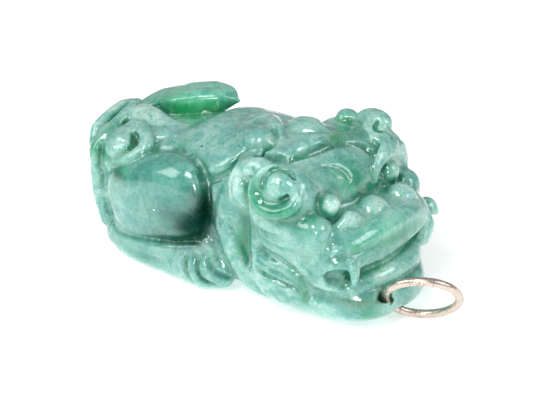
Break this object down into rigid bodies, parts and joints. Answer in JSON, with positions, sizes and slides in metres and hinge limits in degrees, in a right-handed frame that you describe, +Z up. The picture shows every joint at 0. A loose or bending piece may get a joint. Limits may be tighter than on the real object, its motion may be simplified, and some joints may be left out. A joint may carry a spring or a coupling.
{
  "type": "carved stone animal pendant",
  "caption": "Crouching guardian lion carved from a block of green jade, with a small wire jump ring through its lower lip for a cord or chain.",
  "frame": {"origin": "on the ground plane, on the flat underside below the belly", "axes": "+X towards the animal's nose, +Y towards its left side, +Z up"},
  "size_m": [0.069, 0.0316, 0.0257],
  "materials": {
    "jade": "polished, cloudy, mottled celadon to emerald",
    "silver_wire": "worn silver with fine scuffs"
  },
  "bodies": {
    "carving": {"jade_carving": "jade"},
    "ring": {"jump_ring": "silver_wire"}
  },
  "joints": [
    {"name": "ring_swing", "type": "hinge", "parent": "carving", "child": "ring", "pos_m": [0.02657, -0.00317, 0.00338], "axis": [-0.051, -0.6781, 0.7332], "range_deg": [-75, 20]}
  ]
}
